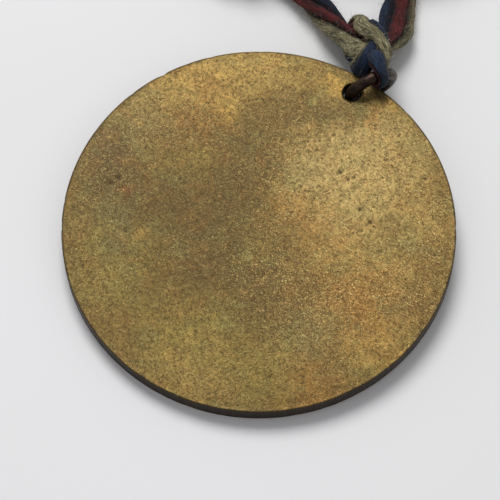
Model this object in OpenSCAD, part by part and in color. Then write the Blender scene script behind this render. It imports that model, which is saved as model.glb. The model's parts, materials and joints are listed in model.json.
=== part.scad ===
// Struck award medal lying face down on a table, with its jump ring and a twisted neck cord.
// Z is up and the table is the plane z = 0. The suspension hole is on the +Y side of the disc.
// The disc leans on its ring, so it is a few degrees off level.

/* [Disc] */
// Diameter of the struck disc
disc_d = 50; // [40:1:60]
// Thickness over the obverse rim
disc_t = 2.3; // [2:0.1:3]
// Bevel on both edges of the disc
edge_bevel = 0.15; // [0.05:0.05:0.3]
// Width of the raised rim on the obverse
rim_w = 1.4; // [1:0.1:2]
// Depth of the obverse field below its rim
field_depth = 0.3; // [0.2:0.05:0.5]
// Diameter of the suspension hole
hole_d = 2.4; // [2.3:0.1:2.6]
// Distance from the disc's edge to the middle of the hole
hole_inset = 2.5; // [2.3:0.1:2.8]

/* [Wreath] */
// Radius of the wreath's stems
wreath_r = 15; // [13:0.5:16]
// Pairs of leaves on each branch
leaf_pairs = 9; // [6:1:10]
// Length of one leaf
leaf_l = 4.6; // [3.5:0.1:5]
// Width of one leaf
leaf_w = 1.5; // [1:0.1:2]
// Height of the relief above the field
relief_h = 0.2; // [0.1:0.05:0.25]

/* [Ring] */
// Diameter of the ring's wire
wire_d = 1.5; // [1.4:0.05:1.5]
// Diameter of the ring across the middle of its wire
ring_d = 6; // [5.8:0.1:6.2]
// Gap where the ends of the wire meet
ring_split = 0.08; // [0.05:0.01:0.15]
// How far the ring is turned to the side from straight out
ring_yaw = 30.5; // [20:0.5:35]
// How far the ring leans from upright
ring_lean = 8; // [4:1:10]

/* [Cord] */
// Diameter of the three-ply cord
cord_d = 3.4; // [3:0.1:3.5]
// Diameter of the cord where it is squeezed through the ring
squeezed_d = 1.3; // [1.1:0.05:1.3]
// Width of the knot at the ring
knot_d = 5.4; // [5:0.1:5.6]
// Width of the knot that joins the ends of the cord
end_knot_d = 6.2; // [5.5:0.1:6.4]
// Middle radius of the outermost turn of the coil
coil_out_r = 23; // [22.5:0.5:23.5]
// Middle radius of the innermost turn of the coil
coil_in_r = 11.2; // [10.5:0.1:12.5]

/* [Hidden] */
$fn = 96;
bronze = "#9c7a3f";
ring_bronze = "#4a3226";
cord_blue = "#1f3250";
cord_red = "#8e2430";
cord_cream = "#b5a97c";
seg = 0.02; // overlap that makes a cut clean

disc_r = disc_d / 2;
wire_r = wire_d / 2;
ring_r = ring_d / 2;
cord_r = cord_d / 2;
squeezed_r = squeezed_d / 2;
hole_r_at = disc_r - hole_inset;

// The ring stands on the table and carries the +Y side of the disc.
ring_heading = 90 - ring_yaw;
ring_z = ring_r * cos(ring_lean) + wire_r;
ring_rise = 1.6;       // the ring's centre above the underside of the disc
ring_offset = 2.73;    // the ring's centre from the axis of the hole
seat_from_axis = hole_r_at + ring_offset * cos(ring_yaw);
tilt = asin((ring_z - ring_rise) / (disc_r + seat_from_axis));

// The disc and the ring together are centred on the origin, seen from above.
ring_normal_y = cos(ring_lean) * sin(ring_yaw);
hole_y = hole_r_at * cos(tilt) - disc_t / 2 * sin(tilt);
ring_y = hole_y + ring_offset * cos(ring_yaw);
ring_far_y = ring_y + ring_r * sqrt(1 - ring_normal_y * ring_normal_y) + wire_r;
disc_far_y = disc_r * cos(tilt) + disc_t * sin(tilt);
disc_y = (disc_far_y - ring_far_y) / 2;
ring_centre = [ring_offset * sin(ring_yaw), disc_y + ring_y, ring_z];

// The cord wraps the ring's wire here, measured round the ring from its outer side.
seat_angle = 70;
bight_r = wire_r + 0.05 + squeezed_r;

// The cord's route on the table, from the knot to the coil, in millimetres.
left_route = [[-4.8, 27.6, 3.8], [-8.2, 29.2, 2.6], [-12.6, 30.8, 1.9], [-16.6, 31.8, 1.7],
              [-20.8, 31.8, 1.7], [-25, 31.6, 1.7], [-29, 33.2, 1.7], [-32.8, 36.6, 1.7],
              [-36.8, 40.9, 1.7]];
right_route = [[-2, 35.9, 1.8], [-2.9, 38.5, 1.7], [-4.1, 41.3, 2.9], [-4.2, 44, 4.6],
               [-2.1, 47, 5.1]];
coil_centre = [-22, 58.5, 0];
knot_head = [-1.2, 27, 4.3];       // the end of the knot next to the ring
knot_foot = [-4.8, 28.9, 3.6];     // the end that the left-hand run leaves
knot_bend = [-1.9, 34.4, 1.9];       // where the right-hand run turns out of the knot
end_knot_centre = [-22, 31.4, 3.1];
tube_sides = 8;

function unit(v) = v / norm(v);
function heading(route, i) =
    unit(route[min(i + 1, len(route) - 1)] - route[max(i - 1, 0)]);
function ring_of(centre, along, r) =
    let (side = unit(cross(along, [0, 0, 1])), up = cross(side, along))
    [for (k = [0 : tube_sides - 1])
        centre + r * (cos(360 * k / tube_sides) * side + sin(360 * k / tube_sides) * up)];

module tube(route, r) {
    n = len(route);
    points = [for (i = [0 : n - 1]) each ring_of(route[i], heading(route, i), r)];
    walls = [for (i = [0 : n - 2], k = [0 : tube_sides - 1])
        let (next = (k + 1) % tube_sides, a = i * tube_sides, b = a + tube_sides)
        each [[a + k, b + k, b + next], [a + k, b + next, a + next]]];
    first = [for (k = [0 : tube_sides - 1]) k];
    last = [for (k = [tube_sides - 1 : -1 : 0]) (n - 1) * tube_sides + k];
    polyhedron(points, concat(walls, [first, last]), convexity = 6);
}

// Puts a disc drawn flat, obverse down, at its place on the table.
module leaning() {
    translate([0, disc_y, disc_r * sin(tilt)]) rotate([tilt, 0, 0]) children();
}

// The ring's own frame: X outwards, Y along the ring's axis, Z up.
module at_ring() {
    translate(ring_centre) rotate([0, 0, ring_heading]) rotate([ring_lean, 0, 0]) children();
}

// A frame on the wire where the cord wraps it: X outwards, Y along the ring's axis, Z along the wire.
module at_seat() {
    at_ring()
        translate([ring_r * cos(seat_angle), 0, ring_r * sin(seat_angle)])
            rotate([0, -seat_angle, 0])
                children();
}

module disc_blank() {
    rotate_extrude($fn = 240)
        polygon([[0, field_depth], [disc_r - rim_w - 0.2, field_depth], [disc_r - rim_w, 0],
                 [disc_r - edge_bevel, 0], [disc_r, edge_bevel], [disc_r, disc_t - edge_bevel],
                 [disc_r - edge_bevel, disc_t], [0, disc_t]]);
}

module leaf() {
    r = (leaf_l * leaf_l + leaf_w * leaf_w) / (4 * leaf_w);
    intersection_for(side = [-1, 1])
        translate([0, side * (r - leaf_w / 2), 0])
            cylinder(r = r, h = relief_h + seg);
}

// One branch of laurel, from the foot of the disc up one side.
module branch() {
    step = 132 / leaf_pairs;
    rotate([0, 0, -78])
        rotate_extrude(angle = 132)
            translate([wreath_r - 0.2, 0])
                square([0.4, relief_h / 2 + seg]);
    for (i = [0 : leaf_pairs - 1], side = [-1, 1])
        rotate([0, 0, -72 + i * step])
            translate([wreath_r + side * 1.1, 0, 0])
                rotate([0, 0, 90 - side * 28])
                    leaf();
}

module medal_disc() {
    color(bronze)
        leaning()
            difference() {
                union() {
                    disc_blank();
                    translate([0, 0, field_depth - relief_h]) {
                        branch();
                        mirror([1, 0, 0]) branch();
                    }
                }
                translate([0, hole_r_at, -1]) cylinder(d = hole_d, h = disc_t + 2);
            }
}

module suspension_ring() {
    split_at = 215;
    color(ring_bronze)
        at_ring()
            difference() {
                rotate([90, 0, 0])
                    rotate_extrude()
                        translate([ring_r, 0])
                            circle(d = wire_d, $fn = 48);
                rotate([0, -split_at, 0])
                    translate([ring_r - wire_d, -wire_d, -ring_split / 2])
                        cube([2 * wire_d, 2 * wire_d, ring_split]);
            }
}

module cord_knot() {
    reach = 3;
    color(cord_blue) {
        at_seat() {
            rotate([0, 0, 180])
                rotate_extrude(angle = 180)
                    translate([bight_r, 0])
                        circle(r = squeezed_r, $fn = 32);
            for (side = [-1, 1])
                translate([side * bight_r, 0, 0])
                    rotate([-90, 0, 0])
                        cylinder(r = squeezed_r, h = reach, $fn = 32);
        }
        hull() {
            at_seat() translate([0, reach, 0]) sphere(r = bight_r + squeezed_r / 2, $fn = 24);
            translate(knot_head) sphere(d = knot_d, $fn = 32);
        }
        hull() {
            translate(knot_head) sphere(d = knot_d, $fn = 32);
            translate(knot_foot) sphere(d = knot_d, $fn = 32);
        }
        hull() {
            translate(knot_foot) sphere(d = cord_d, $fn = 24);
            translate(knot_bend) sphere(d = cord_d + 0.4, $fn = 24);
        }
    }
}

module cord_left() {
    color(cord_red) tube(left_route, cord_r);
}

module cord_right() {
    color(cord_cream) tube(right_route, cord_r);
}

module cord_coil() {
    corner = 0.8;
    inside = coil_in_r - cord_r;
    outside = coil_out_r + cord_r;
    height = 2 * cord_d;
    color(cord_blue)
        translate(coil_centre)
            rotate_extrude()
                polygon([[inside + corner, 0], [outside - corner, 0], [outside, corner],
                         [outside, height - corner], [outside - corner, height],
                         [inside + corner, height], [inside, height - corner],
                         [inside, corner]]);
}

module end_knot() {
    color(cord_red)
        translate(end_knot_centre)
            sphere(d = end_knot_d, $fn = 48);
}

medal_disc();
suspension_ring();
cord_knot();
cord_left();
cord_right();
cord_coil();
end_knot();
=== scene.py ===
"""Looks for a struck bronze medal, face down on a table, with its jump ring and a three-ply neck cord.

Lengths are named in millimetres and turned into metres as they are used. Z is up and the table is z = 0.
"""

import json
import math

import bpy
import numpy as np
from mathutils import Matrix, Vector


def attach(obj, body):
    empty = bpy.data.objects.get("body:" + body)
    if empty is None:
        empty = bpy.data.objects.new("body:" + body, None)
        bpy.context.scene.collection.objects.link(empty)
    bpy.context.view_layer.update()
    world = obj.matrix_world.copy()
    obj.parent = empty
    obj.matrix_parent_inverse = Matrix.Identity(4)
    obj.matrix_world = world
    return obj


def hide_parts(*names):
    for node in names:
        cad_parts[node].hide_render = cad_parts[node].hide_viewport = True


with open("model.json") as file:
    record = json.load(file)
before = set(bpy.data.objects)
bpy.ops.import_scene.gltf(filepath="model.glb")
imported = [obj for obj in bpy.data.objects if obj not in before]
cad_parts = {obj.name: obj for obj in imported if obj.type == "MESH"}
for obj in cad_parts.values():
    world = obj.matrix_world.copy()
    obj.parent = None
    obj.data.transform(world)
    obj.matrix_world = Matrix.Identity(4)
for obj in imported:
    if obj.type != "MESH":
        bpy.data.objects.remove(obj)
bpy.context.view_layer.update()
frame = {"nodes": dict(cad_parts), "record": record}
MM = 0.001

# ------------ camera

VIEW_AZIMUTH = math.radians(30.5)
VIEW_ELEVATION = math.radians(64.414)
VIEW_ROLL = math.radians(2.345)
VIEW_DISTANCE = 350     # millimetres, as are the rest
VIEW_LENS = 197.8
VIEW_SENSOR = 36
VIEW_ASIDE = -1.81      # the point looked at: how far right of the origin
VIEW_AWAY = -3.13       # and how far beyond it


def make_camera():
    """Looks at the medal steeply from above, from the side away from its ring."""
    right = Vector((math.cos(VIEW_AZIMUTH), math.sin(VIEW_AZIMUTH), 0))
    away = Vector((-math.sin(VIEW_AZIMUTH), math.cos(VIEW_AZIMUTH), 0))
    back = Vector((0, 0, math.sin(VIEW_ELEVATION))) - away * math.cos(VIEW_ELEVATION)
    up = back.cross(right)
    side = math.cos(VIEW_ROLL) * right + math.sin(VIEW_ROLL) * up
    top = math.cos(VIEW_ROLL) * up - math.sin(VIEW_ROLL) * right
    target = (VIEW_ASIDE * right + VIEW_AWAY * away) * MM
    data = bpy.data.cameras.new("camera")
    data.lens = VIEW_LENS
    data.sensor_width = VIEW_SENSOR
    data.clip_start = 0.01
    data.clip_end = 10
    camera = bpy.data.objects.new("camera", data)
    place = Matrix((side, top, back)).transposed().to_4x4()
    place.translation = target + back * VIEW_DISTANCE * MM
    camera.matrix_world = place
    bpy.context.scene.collection.objects.link(camera)
    bpy.context.scene.camera = camera


# ------------ material helpers

class Material:
    """A Principled material, and short ways to add the nodes that drive it."""

    def __init__(self, name):
        self.material = bpy.data.materials.new(name)
        self.material.use_nodes = True
        self.tree = self.material.node_tree
        self.tree.nodes.clear()
        self.shader = self.node("ShaderNodeBsdfPrincipled")
        output = self.node("ShaderNodeOutputMaterial")
        self.tree.links.new(self.shader.outputs[0], output.inputs[0])

    def put(self, socket, value):
        """Sets an input to a number or colour, or links it to another node's output."""
        if isinstance(value, bpy.types.NodeSocket):
            self.tree.links.new(value, socket)
        elif isinstance(value, tuple) and len(value) == 3 and socket.type == "RGBA":
            socket.default_value = (*value, 1)
        else:
            socket.default_value = value

    def node(self, kind, inputs=None, **settings):
        """A new node with its settings, and then its inputs, by their names or places."""
        made = self.tree.nodes.new(kind)
        for key, value in settings.items():
            setattr(made, key, value)
        for key, value in (inputs or {}).items():
            self.put(made.inputs[key], value)
        return made

    def vector(self, operation, a, b):
        return self.node("ShaderNodeVectorMath", {0: a, 1: b}, operation=operation).outputs

    def set(self, **inputs):
        for name, value in inputs.items():
            self.put(self.shader.inputs[name.replace("_", " ")], value)

    def shift(self, vector, scale, offset):
        inputs = {0: vector, 1: scale, 2: offset}
        return self.node("ShaderNodeVectorMath", inputs, operation="MULTIPLY_ADD").outputs[0]

    def place(self, offset=(0, 0, 0)):
        """The object's own coordinates in millimetres, moved by offset."""
        where = self.node("ShaderNodeTexCoord").outputs["Object"]
        return self.shift(where, (1 / MM, 1 / MM, 1 / MM), offset)

    def scaled(self, vector, scale):
        return self.vector("MULTIPLY", vector, scale)[0]

    def far(self, vector, point):
        return self.vector("DISTANCE", vector, point)["Value"]

    def split(self, vector):
        return self.node("ShaderNodeSeparateXYZ", {0: vector}).outputs

    def noise(self, vector, scale, detail=4, rough=0.55, distortion=0, colour=False):
        inputs = {"Vector": vector, "Scale": scale, "Detail": detail}
        inputs.update(Roughness=rough, Distortion=distortion)
        return self.node("ShaderNodeTexNoise", inputs).outputs["Color" if colour else "Fac"]

    def cells(self, vector, scale):
        """How far it is to the nearest of some strewn points."""
        inputs = {"Vector": vector, "Scale": scale}
        return self.node("ShaderNodeTexVoronoi", inputs, feature="F1").outputs["Distance"]

    def ramp(self, value, low, high, to_low=0.0, to_high=1.0):
        """A soft step: to_low where the value is low or less, and to_high where it is high or more."""
        inputs = {"Value": value, "From Min": low, "From Max": high, "To Min": to_low, "To Max": to_high}
        return self.node("ShaderNodeMapRange", inputs, interpolation_type="SMOOTHSTEP").outputs["Result"]

    def math(self, operation, a, b=0.0):
        return self.node("ShaderNodeMath", {0: a, 1: b}, operation=operation).outputs[0]

    def times(self, a, b):
        return self.math("MULTIPLY", a, b)

    def mix(self, amount, a, b, blend="MIX"):
        inputs = {0: amount, 6: a, 7: b}
        return self.node("ShaderNodeMix", inputs, data_type="RGBA", blend_type=blend).outputs[2]

    def bump(self, height, depth, strength, after=None):
        """The normal of a relief, its depth in millimetres, on top of another normal."""
        inputs = {"Strength": strength, "Distance": depth * MM, "Height": height}
        if after is not None:
            inputs["Normal"] = after
        return self.node("ShaderNodeBump", inputs).outputs[0]


def new_piece(name, points, faces, materials, face_material=None):
    """A smooth mesh from points in metres; face_material gives each face's place in materials."""
    mesh = bpy.data.meshes.new(name)
    mesh.from_pydata(np.asarray(points).tolist(), [], faces)
    for material in materials:
        mesh.materials.append(material)
    if face_material is not None:
        mesh.polygons.foreach_set("material_index", np.asarray(face_material, np.int32))
    mesh.polygons.foreach_set("use_smooth", np.full(len(mesh.polygons), True))
    mesh.update()
    piece = bpy.data.objects.new(name, mesh)
    bpy.context.scene.collection.objects.link(piece)
    return piece


# ------------ the cord's route

CORD_D = 3.4
LEFT_ROUTE = [(-4.8, 27.6, 3.8), (-8.2, 29.2, 2.6), (-12.6, 30.8, 1.9), (-16.6, 31.8, 1.7),
              (-20.8, 31.8, 1.7), (-25, 31.6, 1.7), (-29, 33.2, 1.7), (-32.8, 36.6, 1.7),
              (-36.8, 40.9, 1.7)]
RIGHT_ROUTE = [(-2, 35.9, 1.8), (-2.9, 38.5, 1.7), (-4.1, 41.3, 2.9), (-4.2, 44, 4.6),
               (-2.1, 47, 5.1)]
COIL_CENTRE = (-22, 58.5)
COIL_OUT_R = 23
COIL_IN_R = 11.2
COIL_IN_AT = 230        # where the cord joins the coil, in degrees round it
COIL_TURNS = 3.361      # in each of the two layers
COIL_LOW = 1.7
COIL_HIGH = 5.1
COIL_STEPS = 28         # points in a turn
COIL_CLIMB_FROM = -60   # where the cord starts to climb to the upper layer, in degrees past halfway
COIL_CLIMB = 150        # and how far round the climb goes

# What the knot is wound on: the ring's wire, and the run of cord that it grips.
WIRE = (2.0, 23.5, 6.65)
RUN_NEAR = (-1.0, 26.1, 4.9)
RUN_FAR = (-5.2, 28.2, 3.6)
UP = (0, 0, 1)
HUBS = (WIRE, RUN_NEAR, RUN_FAR)
# From the right-hand run, round the left-hand run, through the ring and back to the left-hand run:
# place, width, thickness, what it is pressed on or the side pressed, and the turn of its red ply.
KNOT_ROUTE = [
    ((-1.2, 34.3, 2.0), 1.42, 0.82, UP, -8),
    ((-0.4, 32.2, 2.6), 1.34, 0.78, UP, -2),
    ((-0.6, 29.5, 4.2), 1.00, 0.66, UP, -35),
    ((-0.5, 27.0, 6.0), 0.90, 0.56, RUN_NEAR, -95),
    ((-0.3, 25.1, 6.6), 0.98, 0.54, RUN_NEAR, -108),
    ((-0.5, 24.2, 5.8), 0.95, 0.54, RUN_NEAR, -110),
    ((-1.0, 24.4, 4.1), 0.90, 0.55, RUN_NEAR, -112),
    ((-2.2, 26.0, 2.3), 0.82, 0.55, RUN_NEAR, -130),
    ((-3.4, 27.9, 1.4), 0.78, 0.58, RUN_FAR, -155),
    ((-4.9, 29.4, 1.2), 0.80, 0.60, RUN_FAR, -175),
    ((-5.3, 30.5, 2.1), 0.82, 0.65, RUN_FAR, -190),
    ((-4.5, 30.2, 3.9), 0.90, 0.75, RUN_FAR, -200),
    ((-3.3, 29.4, 5.4), 1.00, 0.80, UP, -210),
    ((-2.1, 28.8, 6.0), 1.00, 0.76, UP, -222),
    ((-0.9, 28.3, 6.4), 0.88, 0.68, UP, -236),
    ((0.2, 27.5, 6.7), 0.78, 0.62, UP, -255),
    ((1.0, 26.9, 6.0), 0.70, 0.60, UP, -282),
    ((1.25, 26.7, 4.9), 0.64, 0.52, (0.6, 0.8, 0.4), -340),
    ((1.35, 25.4, 4.5), 0.60, 0.45, (0.4, 0.6, -0.8), -440),
    ((1.8, 23.7, 5.2), 0.58, 0.36, WIRE, -480),
    ((2.6, 23.2, 5.5), 0.56, 0.32, WIRE, -480),
    ((3.1, 23.1, 6.5), 0.58, 0.30, WIRE, -480),
    ((2.9, 23.5, 7.4), 0.62, 0.32, WIRE, -480),
    ((2.2, 23.9, 7.9), 0.74, 0.36, WIRE, -482),
    ((1.2, 24.8, 7.7), 0.95, 0.50, UP, -490),
    ((0.2, 26.0, 6.6), 1.05, 0.62, UP, -520),
    ((-1.7, 26.4, 4.7), 1.20, 0.85, UP, -612),
    ((-3.2, 27.0, 4.2), 1.35, 0.98, UP, -640),
]
TWIST_LEFT = 15         # degrees a millimetre
TWIST_RIGHT = 4
TWIST_PITCH = 22        # millimetres a turn in the coil
LEFT_TURN = 60          # how far the red ply is turned where the left-hand run leaves the knot
LEFT_TURN_ON = -70      # and how much more it turns to that run's next point
RIGHT_TURN = -14        # how far it is turned where the right-hand run meets the knot
KNOT_TURNS = -2         # whole turns that the knot takes, to meet the left-hand run
LEFT_WIDTHS = (1, 1.06, 1.16, 1.10)     # of the left-hand run, from the knot on
RIGHT_END = (1.38, 0.85)    # width and thickness of the right-hand run at the knot
RIGHT_NEXT = (1.12, 0.9)    # and at that run's next point


def smooth_step(t):
    t = np.clip(t, 0, 1)
    return t * t * (3 - 2 * t)


def unit(v):
    return v / np.linalg.norm(v, axis=-1, keepdims=True)


def coil_points():
    """The coil from where the left-hand run joins it: in along the table, then out on top."""
    total = int(COIL_TURNS * COIL_STEPS)
    pitch = (COIL_OUT_R - COIL_IN_R) / COIL_TURNS
    points = []
    for i in range(1, 2 * total):
        turns = i / total * COIL_TURNS
        inwards = min(turns, 2 * COIL_TURNS - turns)
        radius = COIL_OUT_R - pitch * inwards
        past_middle = (turns - COIL_TURNS) * 360
        lift = float(smooth_step((past_middle - COIL_CLIMB_FROM) / COIL_CLIMB))
        angle = math.radians(COIL_IN_AT - 360 * turns)
        points.append((COIL_CENTRE[0] + radius * math.cos(angle),
                       COIL_CENTRE[1] + radius * math.sin(angle),
                       COIL_LOW + (COIL_HIGH - COIL_LOW) * lift))
    return points


def row(place, width=1.0, thick=1.0, pressed=UP, turn=0.0):
    """One control point of a route; pressed is a side, or the place that the cord is pressed on."""
    away = unit(np.subtract(place, pressed)) if pressed in HUBS else pressed
    return (*place, width, thick, *away, turn)


class Route:
    """A smooth line through control rows, with a width, a thickness, a pressed side and a twist."""

    FINE = 16

    def __init__(self, rows, before=None, after=None):
        """before and after are the rows that the line comes from and goes on to, past its ends."""
        rows = np.array(rows, float)
        before = 2 * rows[0] - rows[1] if before is None else np.array(before, float)
        after = 2 * rows[-1] - rows[-2] if after is None else np.array(after, float)
        through = np.vstack([before, rows, after])
        t = np.linspace(0, 1, self.FINE, endpoint=False)[:, None]
        fine = []
        for a, b, c, d in zip(through, through[1:], through[2:], through[3:]):
            fine.append(0.5 * (2 * b + (c - a) * t + (2 * a - 5 * b + 4 * c - d) * t ** 2
                               + (3 * b - a - 3 * c + d) * t ** 3))
        self.rows = np.concatenate(fine + [rows[-1:]])
        self.rows[:, :3] *= MM
        step = np.linalg.norm(np.diff(self.rows[:, :3], axis=0), axis=1)
        self.along = np.concatenate([[0], np.cumsum(step)])
        self.heading = unit(np.gradient(self.rows[:, :3], self.along, axis=0))
        self.heading[0] = unit(rows[1, :3] - before[:3])
        self.heading[-1] = unit(after[:3] - rows[-2, :3])
        self.stations = self.along[::self.FINE]

    def column(self, at, k):
        return np.interp(at, self.along, self.rows[:, k])

    def stretch(self, step, start_at=0.0, knotted=False):
        """Evenly spaced places along the line, with all that rope() needs there."""
        count = max(2, int(round(self.along[-1] / step)) + 1)
        at = np.linspace(0, self.along[-1], count)
        place = np.stack([self.column(at, k) for k in range(3)], 1)
        heading = [np.interp(at, self.along, self.heading[:, k]) for k in range(3)]
        heading = unit(np.stack(heading, 1))
        pressed = np.stack([self.column(at, 5 + k) for k in range(3)], 1)
        pressed = unit(pressed - (pressed * heading).sum(1)[:, None] * heading)
        from_knot = np.zeros(count) if knotted else np.minimum(at, at[-1] - at) / MM
        return {
            "at": (at + start_at) / MM,
            "from_knot": from_knot,
            "place": place,
            "pressed": pressed,
            "across": np.cross(heading, pressed),
            "width": self.column(at, 3),
            "thick": self.column(at, 4),
            "turn": np.radians(self.column(at, 8)),
        }


def cord_route():
    """The whole loop but for the knot, from the knot's left-hand end round to its right-hand end."""
    cord = LEFT_ROUTE + coil_points() + RIGHT_ROUTE[::-1]
    rows = [row(place) for place in cord]
    for i, width in enumerate(LEFT_WIDTHS):
        rows[i] = row(cord[i], width)
    rows[-2] = row(cord[-2], *RIGHT_NEXT)
    rows[-1] = row(cord[-1], *RIGHT_END)
    knot = [row(*control) for control in KNOT_ROUTE]
    route = Route(rows, before=knot[-1], after=knot[0])
    left_end = route.stations[len(LEFT_ROUTE) - 1]
    right_start = route.stations[-len(RIGHT_ROUTE)]
    left_turn = LEFT_TURN - TWIST_LEFT * left_end / MM
    right_turn = RIGHT_TURN + TWIST_RIGHT * (route.along[-1] - right_start) / MM
    whole_turns = round((right_start - left_end) / MM / TWIST_PITCH)
    after_coil = left_turn - 360 * whole_turns - (left_turn - right_turn) % 360
    ends = [0, left_end, right_start, route.along[-1]]
    turns = [LEFT_TURN, left_turn, after_coil, after_coil - right_turn + RIGHT_TURN]
    route.rows[:, 8] = np.interp(route.along, ends, turns)
    return route


def knot_route():
    """The hitch that holds the ring, from the cord's right-hand end round to its left-hand end."""
    first = row(RIGHT_ROUTE[0], *RIGHT_END, UP, RIGHT_TURN)
    last = row(LEFT_ROUTE[0], turn=LEFT_TURN + 360 * KNOT_TURNS)
    rows = [first] + [row(*control) for control in KNOT_ROUTE] + [last]
    before = row(RIGHT_ROUTE[1], *RIGHT_NEXT)
    after = row(LEFT_ROUTE[1], turn=last[-1] + LEFT_TURN_ON)
    return Route(rows, before, after)


# The knot that joins the cord's two ends: its middle, and the tails that go in and come out.
END_KNOT = (-22, 31.4, 3.1)
END_KNOT_R = 2.15       # from the knot's axis to the middle of the cord wound round it
END_KNOT_TURNS = 1.75
END_KNOT_FROM = 70      # where the winding starts, in degrees round it
END_KNOT_STEPS = 10     # points in a turn
END_KNOT_NEAR = 2.1     # where along the run the winding starts
END_KNOT_L = 4.0        # and how far along the run it goes
END_KNOT_SINK = 0.1     # how much lower the winding is than the knot's middle
END_KNOT_CORD_R = 0.4   # radius of the cord there, of its diameter: it is pulled tight
WOUND = (0.85, 0.55)    # width and thickness of the cord where it is wound, and of its tails
TAIL = (0.95, 0.9)
TAIL_ONE = [(-17.6, 35.9, 1.5), (-18.6, 34.6, 1.8), (-19.6, 33.9, 3.0)]
TAIL_TWO = [(-23.9, 29.4, 4.2), (-25.6, 27.9, 2.6), (-27.6, 27.0, 1.5), (-29.6, 26.6, 1.5)]
TAIL_TURN = 40          # the turn of the red ply at the first tail's end, in degrees
TAIL_TWIST = -14        # and how much it changes from one point to the next
WOUND_TWIST = -20


def end_knot_rows():
    """The ends of the cord, wound round the left-hand run and left as two short tails."""
    rows = [row(place, *TAIL, UP, TAIL_TURN + TAIL_TWIST * i) for i, place in enumerate(TAIL_ONE)]
    steps = int(END_KNOT_TURNS * END_KNOT_STEPS)
    for i in range(steps + 1):
        share = i / steps
        angle = math.radians(END_KNOT_FROM - 360 * END_KNOT_TURNS * share)
        place = (END_KNOT[0] + END_KNOT_NEAR - END_KNOT_L * share,
                 END_KNOT[1] + END_KNOT_R * math.cos(angle),
                 END_KNOT[2] - END_KNOT_SINK + END_KNOT_R * math.sin(angle))
        away = unit(np.subtract(place, (place[0], END_KNOT[1], END_KNOT[2])))
        rows.append(row(place, *WOUND, tuple(away), WOUND_TWIST * i))
    for i, place in enumerate(TAIL_TWO):
        rows.append(row(place, *TAIL, UP, WOUND_TWIST * (steps + 1) + TAIL_TWIST * i))
    return rows


# ------------ rope and fibres

PLIES = 3
TABLE_GAP = 0.02        # what lies on the table is flattened to this height above it
PLY_SIDES = 18
PLY_OFFSET = 0.50       # of the cord's radius, as are the next two
PLY_DEPTH = 0.50
PLY_BREADTH = 0.64
YARNS = 7               # in a ply
YARN_GROOVE = 0.045
YARN_TWIST = 1.1        # radians a millimetre
RED_TIGHT = 0.40        # how much smaller the red ply is in and beside the knot
RED_TIGHT_TO = 9        # millimetres from it
RED_TIGHT_FADE = 6      # millimetres more, over which it comes back to its size
CREASE_R = 1.25         # of the cord's radius: how far out the painted shade of a crease has faded away
UV_LENGTH = 10          # millimetres of ply to one unit of its UV map
FIBRE_D = 0.036
FIBRE_JOINTS = 5
FIBRE_TAPER = 0.6
FIBRE_BEND = 0.45       # of its length, as is the next
FIBRE_CURL = 0.16
FUZZ_SHORTEST = 0.5
FUZZ_OUT = 0.55         # how much a loose fibre stands straight out, and how much it strays
FUZZ_STRAY = 0.75
FUZZ_ROOT = 0.05        # how deep it is rooted


def ply_size(stretch, ply):
    """How thick a ply is, against a plain one: a little uneven, and the red one tighter at the knot."""
    at = stretch["at"]
    size = 1 + 0.045 * np.sin(at * 0.9 + 2.1 * ply) + 0.03 * np.sin(at * 2.3 + ply)
    if ply == 0:
        loose = smooth_step((stretch["from_knot"] - RED_TIGHT_TO) / RED_TIGHT_FADE)
        size *= 1 - RED_TIGHT * (1 - loose)
    return size


def ply_skin(stretch, ply, radius):
    """A ply's rings of points along a stretch, and how deep each is in the crease between plies, which
    sets the painted shade there.
    """
    sides = np.linspace(0, 2 * math.pi, PLY_SIDES, endpoint=False)
    angle = stretch["turn"] + ply * 2 * math.pi / PLIES
    yarn = YARNS * sides[None, :] - (stretch["at"] * YARN_TWIST)[:, None]
    swell = (1 + YARN_GROOVE * np.cos(yarn)) * ply_size(stretch, ply)[:, None]
    out = radius * (PLY_OFFSET + PLY_DEPTH * np.cos(sides)[None, :] * swell)
    side = radius * PLY_BREADTH * np.sin(sides)[None, :] * swell
    a = (out * np.cos(angle)[:, None] - side * np.sin(angle)[:, None]) * stretch["thick"][:, None]
    b = (out * np.sin(angle)[:, None] + side * np.cos(angle)[:, None]) * stretch["width"][:, None]
    skin = (stretch["place"][:, None, :] + a[:, :, None] * MM * stretch["pressed"][:, None, :]
            + b[:, :, None] * MM * stretch["across"][:, None, :])
    skin[:, :, 2] = np.maximum(skin[:, :, 2], TABLE_GAP * MM)
    crease = np.clip(CREASE_R - np.hypot(out, side) / radius, 0, 1)
    return skin, crease


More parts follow.
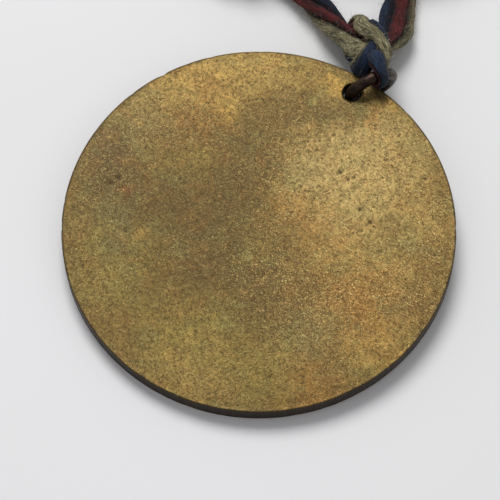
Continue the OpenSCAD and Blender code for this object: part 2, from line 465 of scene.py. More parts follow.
def rope(name, stretch, materials, radius=CORD_D / 2):
    """Three plies twisted together along a stretch, each with shallow grooves between its yarns."""
    at, n = stretch["at"], len(stretch["at"])
    points, faces, owner, uv, crease = [], [], [], [], []
    for ply in range(PLIES):
        skin, deep = ply_skin(stretch, ply, radius)
        base = sum(len(part) for part in points)
        points.append(skin.reshape(-1, 3))
        crease.append(deep.reshape(-1))
        for i in range(n - 1):
            low = base + i * PLY_SIDES
            u0, u1 = at[i] / UV_LENGTH, at[i + 1] / UV_LENGTH
            for k in range(PLY_SIDES):
                k2 = (k + 1) % PLY_SIDES
                v0, v1 = k / PLY_SIDES, (k + 1) / PLY_SIDES
                faces.append((low + k, low + k2, low + PLY_SIDES + k2, low + PLY_SIDES + k))
                uv += [u0, v0, u0, v1, u1, v1, u1, v0]
                owner.append(ply)
        for i in (0, n - 1):
            low = sum(len(part) for part in points)
            points.append(skin[i])
            crease.append(np.ones(PLY_SIDES))
            cap = list(range(low, low + PLY_SIDES))
            faces.append(cap if i else cap[::-1])
            uv += [at[i] / UV_LENGTH, 0.5] * PLY_SIDES
            owner.append(ply)
    piece = new_piece(name, np.concatenate(points), faces, materials, owner)
    layer = piece.data.uv_layers.new(name="ply")
    layer.data.foreach_set("uv", np.array(uv, np.float32))
    # How deep each point is in a crease between plies; the yarn material darkens it by that as painted
    # shade.
    inner = piece.data.attributes.new("crease", "FLOAT", "POINT")
    inner.data.foreach_set("value", np.concatenate(crease).astype(np.float32))
    return piece


def fibres(name, roots, ways, lengths, owner, materials, seed):
    """Thin tapering hairs, three-sided, each bending its own way from its root."""
    draw = np.random.default_rng(seed)
    joints, n = FIBRE_JOINTS, len(roots)
    bend = unit(draw.normal(size=(n, 3)))
    curl = unit(draw.normal(size=(n, 3)))
    t = np.linspace(0, 1, joints)
    line = (roots[:, None, :] + ways[:, None, :] * (lengths[:, None] * t)[:, :, None] * MM
            + bend[:, None, :] * (lengths[:, None] * FIBRE_BEND * t ** 2)[:, :, None] * MM
            + curl[:, None, :] * (lengths[:, None] * FIBRE_CURL * np.sin(5 * t))[:, :, None] * MM)
    line[:, :, 2] = np.maximum(line[:, :, 2], 2 * TABLE_GAP * MM)
    side = unit(np.cross(ways, bend))
    up = np.cross(ways, side)
    radius = FIBRE_D / 2 * (1 - FIBRE_TAPER * t) * MM
    corners = []
    for k in range(3):
        angle = 2 * math.pi * k / 3
        spoke = math.cos(angle) * side + math.sin(angle) * up
        corners.append(line + spoke[:, None, :] * radius[None, :, None])
    points = np.stack(corners, 2).reshape(-1, 3)
    faces, face_owner = [], []
    for f in range(n):
        base = f * joints * 3
        for j in range(joints - 1):
            low = base + j * 3
            for k in range(3):
                k2 = (k + 1) % 3
                faces.append((low + k, low + k2, low + 3 + k2, low + 3 + k))
        faces.append((base + 2, base + 1, base))
        faces.append((base + joints * 3 - 3, base + joints * 3 - 2, base + joints * 3 - 1))
        face_owner += [owner[f]] * (3 * (joints - 1) + 2)
    return new_piece(name, points, faces, materials, face_owner)


def fuzz(name, piece, count, materials, seed, longest=1.7, only=None):
    """Loose fibres standing off a piece of rope, rooted in its surface and coloured as its plies."""
    draw = np.random.default_rng(seed)
    mesh = piece.data
    total = len(mesh.polygons)
    centre, normal = np.zeros(total * 3), np.zeros(total * 3)
    slot = np.zeros(total, np.int32)
    mesh.polygons.foreach_get("center", centre)
    mesh.polygons.foreach_get("normal", normal)
    mesh.polygons.foreach_get("material_index", slot)
    centre, normal = centre.reshape(-1, 3), normal.reshape(-1, 3)
    allowed = np.arange(total) if only is None else np.nonzero(only(centre))[0]
    picked = draw.choice(allowed, count)
    ways = unit(normal[picked] * FUZZ_OUT + draw.normal(size=(count, 3)) * FUZZ_STRAY)
    lengths = FUZZ_SHORTEST + (longest - FUZZ_SHORTEST) * draw.random(count) ** 2.2
    roots = centre[picked] - normal[picked] * FUZZ_ROOT * MM
    return fibres(name, roots, ways, lengths, slot[picked], materials, seed=seed + 1)


# ------------ yarn materials

def yarn_material(name, base, pale, dark):
    """Spun yarn: streaks along the ply, painted shade in the creases between plies, with a faint sheen.
    """
    m = Material(name)
    ply = m.node("ShaderNodeUVMap", uv_map="ply").outputs[0]
    place = m.place()
    streak = m.noise(m.scaled(ply, (6, 15, 1)), 1, 3, 0.6, 0.3)
    hair = m.noise(m.scaled(ply, (16, 48, 1)), 1, 2, 0.6, 0.5)
    patch = m.noise(place, 0.5, 3)
    crease = m.node("ShaderNodeAttribute", attribute_name="crease").outputs["Fac"]
    tone = m.mix(m.ramp(streak, 0.36, 0.56), dark, base)
    tone = m.mix(m.ramp(hair, 0.50, 0.66, 0, 0.8), tone, pale)
    tone = m.mix(m.ramp(patch, 0.35, 0.7, 0, 0.5), tone, dark)
    # Painted shade: the deeper in the crease between plies, the darker the yarn.
    tone = m.mix(m.ramp(crease, 0.28, 0.62, 0, 0.9), tone, tuple(0.25 * c for c in dark))
    m.set(Base_Color=tone, Roughness=m.ramp(hair, 0.2, 0.8, 0.95, 0.72))
    m.set(Specular_IOR_Level=0.3, Sheen_Weight=0.05, Sheen_Roughness=0.5)
    relief = m.math("ADD", streak, m.times(hair, 0.6))
    m.set(Normal=m.bump(relief, 0.3, 0.75))
    return m.material


def fibre_material(name, base, pale):
    """Loose hairs of a yarn's colour, paler in places."""
    m = Material(name)
    spot = m.noise(m.place(), 2.2, 2)
    m.set(Base_Color=m.mix(m.ramp(spot, 0.35, 0.7), base, pale))
    m.set(Roughness=m.ramp(spot, 0.2, 0.8, 0.7, 0.9), Specular_IOR_Level=0.3)
    m.set(Normal=m.bump(spot, 0.01, 0.4))
    return m.material


# Each yarn's own tone, its pale fibres and its darker tone, which, at a quarter of its value, is also
# the painted shade in the creases.
CRIMSON = ((0.125, 0.009, 0.010), (0.36, 0.055, 0.042), (0.030, 0.003, 0.005))
NAVY = ((0.005, 0.014, 0.038), (0.020, 0.056, 0.11), (0.002, 0.004, 0.010))
CREAM = ((0.19, 0.165, 0.08), (0.55, 0.51, 0.31), (0.05, 0.042, 0.019))
CREAM_FIBRE = (0.66, 0.62, 0.46)

ROPE_STEP = 0.6         # millimetres from one ring of points to the next
KNOT_STEP = 0.22
END_KNOT_STEP = 0.3
BY_KNOT = (0, 30)       # the two runs beside the knot lie round this place
BY_KNOT_R = 16


def by_knot(centre):
    """Which of some places are on the two runs beside the knot."""
    return np.hypot(centre[:, 0] - BY_KNOT[0] * MM, centre[:, 1] - BY_KNOT[1] * MM) < BY_KNOT_R * MM


def add_cords():
    """The neck cord: its loop, the hitch at the ring, the knot at its ends and its loose fibres."""
    yarns = [yarn_material("yarn_crimson", *CRIMSON), yarn_material("yarn_navy", *NAVY),
             yarn_material("yarn_cream", *CREAM)]
    hairs = [fibre_material("fibre_crimson", *CRIMSON[:2]), fibre_material("fibre_navy", *NAVY[:2]),
             fibre_material("fibre_cream", CREAM[0], CREAM_FIBRE)]
    route = cord_route()
    stretch = route.stretch(ROPE_STEP * MM)
    neck_cord = rope("neck_cord", stretch, yarns)
    knot = knot_route().stretch(KNOT_STEP * MM, route.along[-1], knotted=True)
    ring_hitch = rope("ring_hitch", knot, yarns)
    ends = Route(end_knot_rows()).stretch(END_KNOT_STEP * MM)
    end_knot = rope("end_knot_wrap", ends, yarns, radius=CORD_D * END_KNOT_CORD_R)
    cord_fuzz = fuzz("cord_fuzz", neck_cord, 5200, hairs, seed=11)
    run_fuzz = fuzz("run_fuzz", neck_cord, 1500, hairs, seed=17, only=by_knot)
    hitch_fuzz = fuzz("hitch_fuzz", ring_hitch, 1500, hairs, seed=23, longest=1.3)
    end_fuzz = fuzz("end_fuzz", end_knot, 700, hairs, seed=29)
    pieces = [neck_cord, ring_hitch, end_knot, cord_fuzz, run_fuzz, hitch_fuzz, end_fuzz]
    for piece in pieces:
        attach(piece, "cord")
    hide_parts("cord_left", "cord_right", "cord_coil")
    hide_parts("cord_knot")
    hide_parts("end_knot")


# ------------ the disc

REVERSE = next(m for m in frame["record"]["mounts"] if m["name"] == "reverse_face")
DISC_R = 25
DISC_T = 2.3
EDGE_BEVEL = 0.15
RIM_W = 1.4
RIM_SLOPE = 0.15        # width of the step from the rim down to the field
FIELD_DEPTH = 0.3
WALL_IN = 0.035         # how far the wall is inside the disc's full radius
BACK_WEAR = 0.05        # how far the back is worn down at its edge, and where that starts
BACK_WEAR_R = 22.5
HOLE_R = 1.2
HOLE_AT = 22.5
HOLE_FLARE = 0.12
AROUND = 480            # points round the disc
NICKS = 46              # in its edge
WREATH_R = 15
LEAF_PAIRS = 9
LEAF_L = 4.6
LEAF_W = 1.5
RELIEF_H = 0.2
BRANCH_FROM = -72       # degrees round the disc, from its right-hand side to a branch's first leaves
BRANCH_SPAN = 132       # and on from there over all its leaves
STEM_FROM = -80         # the stem's two ends, and how many degrees each takes to rise
STEM_TO = 56
STEM_FADE = 3
STEM_R = 0.28
LEAF_OUT = 1.1          # from the stem to the middle of a leaf
LEAF_SPLAY = 28         # degrees from the stem's own way to a leaf's
BERRY_OUT = 1.9
BERRY_R = 0.32
TIE_W = 1.5             # half the width of the tie's middle, and half its height
TIE_H = 0.75
TIE_LOOP_W = 0.55       # half the width of its loops, and how far out they are
TIE_LOOP_OUT = 1.6


def disc_place():
    """From the disc's own frame, obverse down on its plane z = 0, to the table."""
    up = Vector(REVERSE["axis"]).normalized()
    right = Vector((1, 0, 0))
    away = up.cross(right)
    place = Matrix((right, away, up)).transposed().to_4x4()
    place.translation = Vector(REVERSE["pos_m"]) - up * DISC_T * MM
    return place


def bumps(x, y, count, seed, reach, low, high):
    """The sum of some round dents and swells, strewn over the disc."""
    draw = np.random.default_rng(seed)
    height = np.zeros_like(x)
    for _ in range(count):
        angle, r = draw.random() * 2 * math.pi, DISC_R * math.sqrt(draw.random())
        size = reach * (0.6 + draw.random())
        level = low + (high - low) * draw.random()
        away = ((x - r * math.cos(angle)) ** 2 + (y - r * math.sin(angle)) ** 2) / size ** 2
        height += level * np.exp(-away)
    return height


# Pits in the reverse: place, radius and depth.
PITS = [((4.7, 12.0), 0.34, 0.10), ((6.1, 11.6), 0.22, 0.06), ((6.6, 12.3), 0.24, 0.07),
        ((1.2, 16.0), 0.28, 0.07), ((9.6, 8.9), 0.30, 0.08), ((11.6, 8.1), 0.36, 0.10),
        ((12.3, 7.8), 0.24, 0.08), ((-1.1, 13.5), 0.22, 0.05), ((0.1, 14.3), 0.20, 0.05),
        ((0.5, 13.0), 0.20, 0.05), ((9.7, 14.2), 0.20, 0.05), ((-19.1, -5.0), 0.34, 0.10),
        ((-18.7, -3.9), 0.32, 0.09), ((-13.8, -9.6), 0.22, 0.06), ((-15.8, -16.4), 0.26, 0.07),
        ((-7.2, 18.8), 0.22, 0.05), ((14.4, 17.0), 0.26, 0.06), ((20.8, 8.6), 0.24, 0.06)]


def reverse_height(x, y):
    """The plain back: slightly uneven, with pits and worn towards its edge."""
    r = np.hypot(x, y)
    height = bumps(x, y, 70, 3, 3.0, -0.012, 0.012) + bumps(x, y, 240, 4, 0.8, -0.012, 0.006)
    for (px, py), size, depth in PITS:
        height -= depth * np.exp(-((x - px) ** 2 + (y - py) ** 2) / size ** 2)
    wear = BACK_WEAR * smooth_step((r - BACK_WEAR_R) / (DISC_R - BACK_WEAR_R)) ** 2
    return height * smooth_step((DISC_R - 0.2 - r) / 0.8) - wear


def leaf_height(x, y, at, heading):
    """One laurel leaf: a pointed swell with a groove along its middle and fine side veins."""
    dx, dy = x - at[0], y - at[1]
    along = (dx * math.cos(heading) + dy * math.sin(heading)) / (LEAF_L / 2)
    off = (dy * math.cos(heading) - dx * math.sin(heading)) / (LEAF_W / 2)
    edge = np.clip(1 - along ** 2, 0, 1)
    body = np.clip(edge - np.abs(off), 0, 1)
    crown = np.clip(body * 2.2, 0, 1) ** 0.7
    midrib = 0.45 * np.exp(-(off / 0.16) ** 2) * edge
    veins = 0.10 * np.cos(9 * along - 4 * np.abs(off)) * body
    return np.where(body > 0, RELIEF_H * np.clip(crown * (1 - midrib) + veins, 0, 1.1), 0)


def on_branch(radius, degrees, mirror):
    """A place on one of the two branches, from its distance and its turn from the disc's middle."""
    turn = math.radians(degrees)
    return radius * math.cos(turn) * mirror, radius * math.sin(turn)


def obverse_height(x, y):
    """The struck face, as height above the field: a laurel wreath, its stems, berries and a tie."""
    r = np.hypot(x, y)
    height = bumps(x, y, 60, 8, 3.0, -0.008, 0.008)
    step = BRANCH_SPAN / LEAF_PAIRS
    for mirror in (1, -1):
        angle = np.degrees(np.arctan2(y, x * mirror))
        on_stem = smooth_step((angle - STEM_FROM) / STEM_FADE)
        on_stem = on_stem * smooth_step((STEM_TO - angle) / STEM_FADE)
        stem = on_stem * np.clip(1 - ((r - WREATH_R) / STEM_R) ** 2, 0, 1)
        height = np.maximum(height, 0.6 * RELIEF_H * np.sqrt(stem))
        for i in range(LEAF_PAIRS):
            for side in (-1, 1):
                turn = BRANCH_FROM + i * step
                lean = math.radians(turn + 90 - side * LEAF_SPLAY)
                heading = lean if mirror == 1 else math.pi - lean
                at = on_branch(WREATH_R + side * LEAF_OUT, turn, mirror)
                height = np.maximum(height, leaf_height(x, y, at, heading))
                turn = BRANCH_FROM + (i + 0.5) * step
                bx, by = on_branch(WREATH_R + side * BERRY_OUT, turn, mirror)
                dome = np.clip(1 - ((x - bx) ** 2 + (y - by) ** 2) / BERRY_R ** 2, 0, 1)
                height = np.maximum(height, 0.8 * RELIEF_H * np.sqrt(dome))
    for spread in (-1, 0, 1):
        along = y + WREATH_R + 0.35 * abs(spread)
        wide = TIE_W if spread == 0 else TIE_LOOP_W
        loop = 1 - ((x - TIE_LOOP_OUT * spread) / wide) ** 2 - (along / TIE_H) ** 2
        height = np.maximum(height, RELIEF_H * np.sqrt(np.clip(loop, 0, 1)))
    return height


def edge_nicks(turn):
    """How deep the nicks in the disc's edge are, round the disc."""
    draw = np.random.default_rng(21)
    nick = np.zeros(AROUND)
    for _ in range(NICKS):
        middle, reach = draw.random() * 2 * math.pi, 0.006 + 0.018 * draw.random()
        away = np.abs((turn - middle + math.pi) % (2 * math.pi) - math.pi)
        nick += (0.015 + 0.07 * draw.random() ** 2) * np.exp(-(away / reach) ** 2)
    return nick


def disc_rings():
    """Rings of points on the disc's skin: out over the obverse, up the wall, in over the back."""
    turn = np.linspace(0, 2 * math.pi, AROUND, endpoint=False)
    field_r = DISC_R - RIM_W
    flat_r = DISC_R - EDGE_BEVEL
    near_edge = [*np.linspace(20.3, 23.3, 11), *(field_r + np.linspace(-RIM_SLOPE, RIM_SLOPE, 5)),
                 24, 24.3, 24.6]
    low_r = np.concatenate([np.linspace(0.5, 10, 20), np.linspace(10.2, 20, 62), near_edge, [flat_r]])
    curve = np.linspace(0, math.pi / 2, 5)[1:-1]
    low_edge_r = flat_r + EDGE_BEVEL * np.sin(curve)
    low_edge_z = EDGE_BEVEL - EDGE_BEVEL * np.cos(curve)
    wall_z = np.linspace(EDGE_BEVEL, DISC_T - EDGE_BEVEL, 9)
    top_r = np.concatenate([[flat_r], near_edge[::-1], np.linspace(20, 0.5, 58)])
    nick = edge_nicks(turn)
    wander = 0.02 * np.sin(3 * turn + 1) + 0.012 * np.sin(11 * turn)
    rings = []
    for r in low_r:
        x, y = r * np.cos(turn), r * np.sin(turn)
        rim = smooth_step((r - field_r) / RIM_SLOPE + 0.5)
        height = obverse_height(x, y) * (1 - rim)
        rings.append((x, y, FIELD_DEPTH * (1 - rim) - height))
    for r, z in zip(low_edge_r, low_edge_z):
        r = r - nick * 0.5
        rings.append((r * np.cos(turn), r * np.sin(turn), np.full(AROUND, z)))
    for i, z in enumerate(wall_z):
        share = i / (len(wall_z) - 1)
        r = DISC_R - WALL_IN + 0.4 * wander * math.sin(math.pi * share) - nick * share ** 2
        rings.append((r * np.cos(turn), r * np.sin(turn), np.full(AROUND, z)))
    for r, z in zip(low_edge_r[::-1], low_edge_z[::-1]):
        r = r - nick
        rings.append((r * np.cos(turn), r * np.sin(turn), DISC_T - z - 0.4 * nick))
    for r in top_r:
        near = smooth_step((r - DISC_R + 0.8) / 0.65)
        r_here = r - nick * near
        x, y = r_here * np.cos(turn), r_here * np.sin(turn)
        rings.append((x, y, DISC_T + reverse_height(x, y) * (1 - 0.6 * near) - 0.5 * nick * near))
    return rings


def disc_mesh(materials):
    """The struck disc as one closed skin, with its hole."""
    rings = disc_rings()
    points = np.concatenate([np.stack(ring, 1) for ring in rings])
    faces = []
    for i in range(len(rings) - 1):
        low = i * AROUND
        for k in range(AROUND):
            k2 = (k + 1) % AROUND
            faces.append((low + k2, low + k, low + AROUND + k, low + AROUND + k2))
    last = (len(rings) - 1) * AROUND
    for ring, middle in ((0, len(points)), (last, len(points) + 1)):
        for k in range(AROUND):
            a, b = ring + k, ring + (k + 1) % AROUND
            faces.append((middle, b, a) if ring else (middle, a, b))
    points = np.vstack([points, [0, 0, rings[0][2].mean()], [0, 0, rings[-1][2].mean()]])
    points, faces = drill_hole(points, faces)
    disc = new_piece("struck_disc", points * MM, faces, materials)
    disc.data.transform(disc_place())
    return disc


def drill_hole(points, faces):
    """Takes away the faces over the suspension hole, and walls it in from one face to the other."""
    away = points[:, :2] - (0, HOLE_AT)
    reach = np.linalg.norm(away, axis=1)
    mouth = HOLE_R + HOLE_FLARE
    inside = [reach[list(face)].mean() < mouth for face in faces]
    removed = [face for face, gone in zip(faces, inside) if gone]
    sides = {side for face in removed for side in zip(face, face[1:] + face[:1])}
    edge = {v for a, b in sides if (b, a) not in sides for v in (a, b)}
    kept = [face for face, gone in zip(faces, inside) if not gone]
    angle = {v: math.atan2(away[v, 1], away[v, 0]) for v in edge}
    low = sorted((v for v in edge if points[v, 2] < DISC_T / 2), key=angle.get)
    high = sorted((v for v in edge if points[v, 2] > DISC_T / 2), key=angle.get)
    for loop in (low, high):
        level = points[loop, 2].mean()
        for v in loop:
            points[v] = (mouth * math.cos(angle[v]), HOLE_AT + mouth * math.sin(angle[v]), level)
    z_low, z_high = points[low[0], 2], points[high[0], 2]
    turn = np.array([angle[v] for v in low])
    loops = [low]
    # The radius and level of each ring down the hole, a little flared at both its mouths.
    for r, z in ((HOLE_R + 0.03, z_low + 0.09), (HOLE_R, z_low + 0.2), (HOLE_R, z_high - 0.2),
                 (HOLE_R + 0.03, z_high - 0.09)):
        loops.append(list(range(len(points), len(points) + len(low))))
        ring = np.stack([r * np.cos(turn), HOLE_AT + r * np.sin(turn), np.full(len(low), z)], 1)
        points = np.vstack([points, ring])
    loops.append(high)
    for a, b in zip(loops, loops[1:]):
        for k in range(len(low)):
            k2 = (k + 1) % len(low)
            kept.append((a[k], b[k], b[k2], a[k2]))
    return points, kept


# ------------ the disc's patina, with painted shade, reflection and glints

BASE_BRONZE = (0.215, 0.155, 0.062)
TONES = {
    "tan": (0.44, 0.32, 0.135),
    "gold": (0.55, 0.37, 0.13),
    "pale": (0.52, 0.41, 0.23),
    "copper": (0.38, 0.195, 0.06),
    "olive": (0.27, 0.225, 0.075),
    "grey": (0.26, 0.22, 0.13),
    "dark": (0.105, 0.073, 0.030),
    "brown": (0.17, 0.095, 0.035),
    "violet": (0.09, 0.065, 0.043),
    "green": (0.16, 0.16, 0.085),
    "teal": (0.15, 0.185, 0.125),
    "rust": (0.17, 0.062, 0.028),
    "warm": (0.27, 0.125, 0.05),
    "cool": (0.24, 0.26, 0.135),
    "soot": (0.09, 0.062, 0.026),
    "straw": (0.5, 0.37, 0.16),
    "grime": (0.07, 0.048, 0.02),
    # The two fleck tones are painted glints of the grain.
    "warm_fleck": (0.72, 0.55, 0.30),
    "cool_fleck": (0.60, 0.55, 0.32),
    "speck": (0.05, 0.03, 0.014),
    "pit": (0.035, 0.02, 0.01),
    "wall": (0.022, 0.014, 0.008),
    "scraped_wall": (0.085, 0.052, 0.024),
    "sunk": (0.055, 0.036, 0.016),
    "raised": (0.62, 0.46, 0.21),
    "worn": (0.55, 0.40, 0.19),
    "rim_line": (0.03, 0.02, 0.012),
}
ALL_OVER = (0.71, 0.635, 0.405)     # what the whole patina is multiplied by
FLAT_Z = 3.7            # the height at which the patina's patterns are read
CLOUD_WANDER = 9        # how far noise moves the clouds' edges, in millimetres
LEAN = 0.0426           # how much the disc rises for each millimetre towards its hole
GLINTS_BRIGHTEST_AT = (14, 8)     # where the painted glints of the grain are brightest
# Clouds of colour on the back, from under to over: tone, place, radius and strength.
# They are patina, and partly painted light too: the pale, tan, gold and copper clouds that make the far
# and right-hand parts lighter are partly a painted reflection of the lamp, and the dark clouds low and
# left of the middle are partly painted shade.
CLOUDS = [
    ("dark", (-9, 0), 16, 0.6), ("tan", (13, 4), 14, 0.5),
    ("tan", (-13, 16), 12, 0.85), ("pale", (7, 15), 12, 0.75), ("tan", (16, 10), 12, 0.55),
    # The dark clouds at (-6, -3), (-7, 13) and (-4.5, 7) are a painted band of shadow and dark
    # reflection running down from the knot to the middle.
    ("dark", (-6, -3), 11, 0.55), ("dark", (3, -8), 10, 0.45), ("copper", (-14, 9), 6, 0.4),
    ("copper", (-18, 13), 5, 0.3), ("dark", (-7, 13), 6, 0.65), ("dark", (-4.5, 7), 6, 0.6),
    ("violet", (-21, -3), 6, 0.7), ("violet", (-17, -6), 5, 0.5), ("green", (-17, -9), 6, 0.35),
    ("olive", (2, -16.5), 9, 0.75), ("olive", (11, -16), 6, 0.55), ("olive", (-12, -15), 7, 0.5),
    ("tan", (4, -21.5), 7, 0.45), ("copper", (8, 4.5), 6, 0.45), ("copper", (2, 5.5), 4, 0.45),
    ("copper", (17, -2), 7, 0.8), ("gold", (22, -6.5), 5, 0.6), ("copper", (11, -2.5), 5, 0.45),
    ("copper", (17.5, -15.5), 6, 0.5), ("brown", (21, 8), 5, 0.6), ("brown", (17.5, 16), 4, 0.4),
    ("brown", (23, 2), 4, 0.6), ("green", (15, 7.5), 4, 0.4), ("grey", (2.5, 10), 5, 0.5),
    ("grey", (-21, 5), 6, 0.45), ("olive", (1.5, -3.5), 3, 0.45), ("grey", (13.5, -9), 5, 0.45),
    ("olive", (-13, 3), 5, 0.3), ("brown", (-4, -13), 5, 0.45), ("violet", (1.5, -8), 3, 0.3),
    ("dark", (-19, -16), 4, 0.4), ("dark", (-9.5, 9), 7, 0.7), ("dark", (1, -9), 9, 0.45),
    ("dark", (8, -5), 7, 0.55), ("dark", (-19, -5), 6.5, 0.6), ("dark", (-12, -16), 7, 0.2),
    ("pale", (4, 16), 8, 0.5), ("pale", (8, 10), 8, 0.5), ("tan", (-20, 12), 6, 0.5),
    # The dark clouds at (-5, 17), (-1.8, 18.4), (1.4, 19.4) and (-3.7, 15.4) are a painted shadow of the
    # knot on the back.
    ("dark", (-5, 17), 4, 0.45), ("dark", (-1.8, 18.4), 3.2, 0.65), ("dark", (1.4, 19.4), 2.8, 0.7),
    ("dark", (-3.7, 15.4), 3.5, 0.35), ("dark", (-6.5, -11), 7, 0.35), ("dark", (-10, -4), 6, 0.25),
    ("dark", (-15, 5.5), 5, 0.3), ("brown", (14.5, -1.5), 5, 0.25), ("olive", (-10, -15), 8, 0.3),
    ("olive", (1, -18), 8, 0.35), ("olive", (12, -17), 6, 0.3), ("dark", (-16, -11), 9, 0.25),
    ("gold", (-2.6, 22.2), 2.3, 0.9), ("copper", (3.8, 20.6), 1.8, 0.6),
    ("gold", (5.2, 23.4), 1.8, 0.8), ("violet", (-21.6, -1.2), 4, 0.55),
    ("rust", (-17.2, -4.7), 1.3, 0.75), ("green", (-18, -9), 3, 0.5),
    ("teal", (-15.5, -10.7), 2.6, 0.5), ("gold", (-12.2, -9.8), 1.2, 0.5),
    ("olive", (-17.5, -12), 3, 0.5), ("rust", (-14.6, 7.2), 4, 0.3),
    ("gold", (-13, 11.4), 3, 0.5), ("olive", (-12, 4), 3, 0.45),
]


class Bronze(Material):
    """The disc's material, with the places and noises that its colours share."""

    def __init__(self, name):
        super().__init__(name)
        self.at = self.place(offset=(0, -REVERSE["pos_m"][1] / MM, 0))
        x, self.y, self.z = self.split(self.at)
        self.flat = self.node("ShaderNodeCombineXYZ", {0: x, 1: self.y, 2: FLAT_Z}).outputs[0]
        self.hue = self.noise(self.flat, 0.42, 4, 0.6, 0.8)
        self.mottle = self.noise(self.flat, 0.55, 5, 0.65)
        self.grain = self.noise(self.flat, 3.1, 4, 0.75, 0.6)
        self.worm = self.noise(self.scaled(self.flat, (1.0, 1.6, 1)), 4.2, 2, 0.6, 1.4)
        self.level = self.split(self.node("ShaderNodeTexCoord").outputs["Normal"])[2]
        self.from_middle = self.away(0, 0)

    def away(self, x, y):
        """How far it is across the disc to a place on it."""
        return self.far(self.flat, (x, y, FLAT_Z))


def clouded(m):
    """The bronze's own tone, with clouds of patina, painted shade and painted reflection laid over it,
    their edges broken up by noise.
    """
    warp = m.shift(m.noise(m.flat, 0.16, 5, 0.62, colour=True), (CLOUD_WANDER, CLOUD_WANDER, 0),
                   (-CLOUD_WANDER / 2, -CLOUD_WANDER / 2, 0))
    warped = m.vector("ADD", m.flat, warp)[0]
    tone = BASE_BRONZE
    for name, (x, y), radius, strength in CLOUDS:
        away = m.far(warped, (x, y, FLAT_Z))
        tone = m.mix(m.ramp(away, 0.15 * radius, 1.15 * radius, strength, 0), tone, TONES[name])
    return tone


def mottled(m, tone):
    """Warmer and cooler patches, darker and paler ones, and dark grain."""
    tone = m.mix(m.ramp(m.hue, 0.30, 0.47, 0.30, 0), tone, TONES["warm"])
    tone = m.mix(m.ramp(m.hue, 0.53, 0.70, 0, 0.28), tone, TONES["cool"])
    tone = m.mix(m.ramp(m.mottle, 0.3, 0.7, 0.5, 0), tone, TONES["soot"])
    tone = m.mix(m.ramp(m.mottle, 0.55, 0.8, 0, 0.35), tone, TONES["straw"])
    return m.mix(m.ramp(m.grain, 0.35, 0.56, 0.8, 0), tone, TONES["grime"])


def flecked(m, tone):
    """Bright flecks, painted glints of the grain, brightest round one place on the right, and dark
    specks in places.
    """
    patchy = m.ramp(m.noise(m.flat, 0.11, 3), 0.35, 0.6, 0.5, 1)
    # The flecks are painted glints of the grain, brightest round one place on the right and fading away
    # from it.
    brightened = m.times(m.ramp(m.away(*GLINTS_BRIGHTEST_AT), 7, 25, 1, 0.5), patchy)
    fleck = m.times(m.ramp(m.worm, 0.52, 0.68), brightened)
    fleck_tone = m.mix(m.ramp(m.hue, 0.4, 0.6), TONES["warm_fleck"], TONES["cool_fleck"])
    tone = m.mix(fleck, tone, fleck_tone)
    in_places = m.ramp(m.noise(m.flat, 0.21, 2), 0.5, 0.62)
    speck = m.times(m.ramp(m.cells(m.flat, 0.62), 0.05, 0.16, 1, 0), in_places)
    return m.mix(m.times(speck, 0.7), tone, TONES["speck"])


def pitted(m, tone):
    """Dirt in the pits of the back."""
    for (x, y), size, _ in PITS:
        tone = m.mix(m.ramp(m.away(x, y), 0.2 * size, 1.35 * size, 0.75, 0), tone, TONES["pit"])
    return tone


def walled(m, tone):
    """The dark wall of the disc, scraped along its length."""
    wall = m.ramp(m.math("ABSOLUTE", m.level), 0.25, 0.75, 1, 0)
    scrape = m.noise(m.scaled(m.at, (0.9, 0.9, 7)), 1.1, 4, 0.65)
    wall_tone = m.mix(m.ramp(scrape, 0.4, 0.7), TONES["wall"], TONES["scraped_wall"])
    return m.mix(m.times(wall, 0.92), tone, wall_tone)


def worn(m, tone):
    """The obverse, dark in its field and rubbed on its relief, and the bright worn edges of the disc."""
    below = m.ramp(m.level, -0.1, -0.2)
    height = m.math("SUBTRACT", m.z, m.times(m.y, LEAN))
    sunk = m.times(m.ramp(height, 1.22, 1.34), below)
    tone = m.mix(m.times(sunk, 0.5), tone, TONES["sunk"])
    raised = m.times(m.ramp(height, 1.24, 1.16), below)
    tone = m.mix(m.times(raised, 0.4), tone, TONES["raised"])
    sharp = m.node("ShaderNodeNewGeometry").outputs["Pointiness"]
    brightened = m.times(m.ramp(sharp, 0.52, 0.60), m.ramp(m.noise(m.at, 0.9, 3), 0.42, 0.6))
    on_relief = m.times(below, m.ramp(m.from_middle, 11, 12))
    on_edge = m.math("MAXIMUM", on_relief, m.ramp(m.from_middle, 24.1, 24.4))
    return m.mix(m.times(m.times(brightened, on_edge), 0.5), tone, TONES["worn"])


def rim_lined(m, tone):
    """The dark line round the edge of the back."""
    uneven = m.ramp(m.noise(m.at, 0.35, 3), 0.25, 0.6, 1, 0.6)
    line = m.times(m.ramp(m.from_middle, 24.66, 24.84), uneven)
    return m.mix(m.times(line, 0.85), tone, TONES["rim_line"])


def bronze_material():
    """Struck bronze: cloudy patina with painted shade and reflection, fine grain with bright flecks
    painted as glints, dark pits and a dark worn wall.
    """
    m = Bronze("bronze_patina_and_painted_light")
    tone = flecked(m, mottled(m, clouded(m)))
    tone = rim_lined(m, worn(m, walled(m, pitted(m, tone))))
    tone = m.mix(1.0, tone, ALL_OVER, "MULTIPLY")
    m.set(Base_Color=tone, Roughness=m.ramp(m.grain, 0.25, 0.75, 0.56, 0.40))
    m.set(Metallic=0.7, Specular_IOR_Level=0.4)
    relief = m.math("ADD", m.times(m.grain, 0.7), m.times(m.worm, 0.6))
    m.set(Normal=m.bump(relief, 0.035, 0.8, m.bump(m.mottle, 0.08, 0.5)))
    return m.material


def add_disc():
    """The struck disc, in place of the CAD one."""
    disc = disc_mesh([bronze_material()])
    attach(disc, "medal")
    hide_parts("medal_disc")


# ------------ the ring

RING_DARK = (0.012, 0.007, 0.005)
RING_BROWN = (0.050, 0.028, 0.017)
RING_RUBBED = (0.13, 0.08, 0.048)


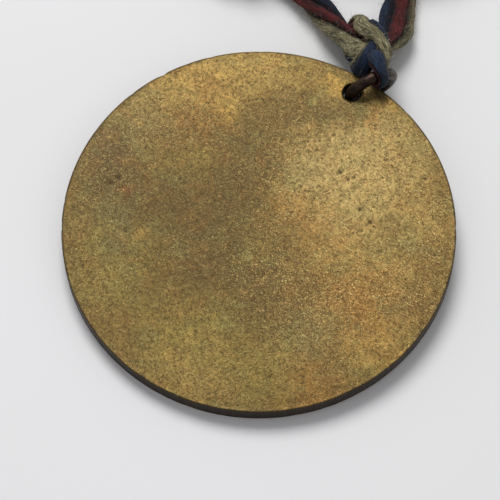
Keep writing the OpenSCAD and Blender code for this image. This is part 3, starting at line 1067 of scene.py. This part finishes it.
def ring_material():
    """Dark worn bronze, with brown clouds and small rubbed flecks."""
    m = Material("ring_patina")
    place = m.place()
    cloud = m.noise(place, 0.9, 4, 0.6)
    grain = m.noise(place, 4.5, 3, 0.6)
    tone = m.mix(m.ramp(cloud, 0.35, 0.65), RING_DARK, RING_BROWN)
    tone = m.mix(m.ramp(grain, 0.55, 0.75, 0, 0.5), tone, RING_RUBBED)
    m.set(Base_Color=tone, Metallic=0.75, Roughness=m.ramp(cloud, 0.3, 0.7, 0.30, 0.48))
    m.set(Normal=m.bump(grain, 0.03, 0.7))
    return m.material


def dress_ring():
    """The ring keeps its CAD solid, with its own material on it."""
    ring = frame["nodes"]["suspension_ring"]
    ring.data.materials.clear()
    ring.data.materials.append(ring_material())


# ------------ floor and light

PAPER_GREY = (0.80, 0.80, 0.79)
PAPER_WHITE = (0.82, 0.815, 0.82)
LAMP_AT = (-0.40, 0.40, 0.76)   # metres, as are the next two
LAMP_TARGET = (0, 0.01, 0)
LAMP_D = 0.55
LAMP_POWER = 6.5
SKY = (0.97, 0.97, 1, 1)
SKY_POWER = 0.44


def paper_material():
    """The pale paper on the table, very slightly uneven in tone."""
    m = Material("paper")
    cloud = m.noise(m.place(), 0.01, 2)
    m.set(Base_Color=m.mix(m.ramp(cloud, 0.3, 0.7), PAPER_GREY, PAPER_WHITE))
    m.set(Roughness=0.85, Specular_IOR_Level=0.2)
    return m.material


def add_floor():
    """The table top, which isn't part of the object."""
    corners = [(-1, -1, 0), (1, -1, 0), (1, 1, 0), (-1, 1, 0)]
    new_piece("floor", corners, [(0, 1, 2, 3)], [paper_material()])


def add_light():
    """A large round lamp, up beyond the left of the medal, and an even pale sky."""
    data = bpy.data.lights.new("window", "AREA")
    data.shape = "DISK"
    data.size = LAMP_D
    data.energy = LAMP_POWER
    light = bpy.data.objects.new("window", data)
    light.location = LAMP_AT
    light.rotation_mode = "QUATERNION"
    light.rotation_quaternion = (Vector(LAMP_TARGET) - Vector(LAMP_AT)).to_track_quat("-Z", "Y")
    bpy.context.scene.collection.objects.link(light)
    world = bpy.data.worlds.new("world")
    world.use_nodes = True
    sky = world.node_tree.nodes["Background"]
    sky.inputs[0].default_value = SKY
    sky.inputs[1].default_value = SKY_POWER
    bpy.context.scene.world = world
    bpy.context.scene.view_settings.view_transform = "Standard"


# ------------ the whole

make_camera()
add_cords()
add_disc()
dress_ring()
add_floor()
add_light()
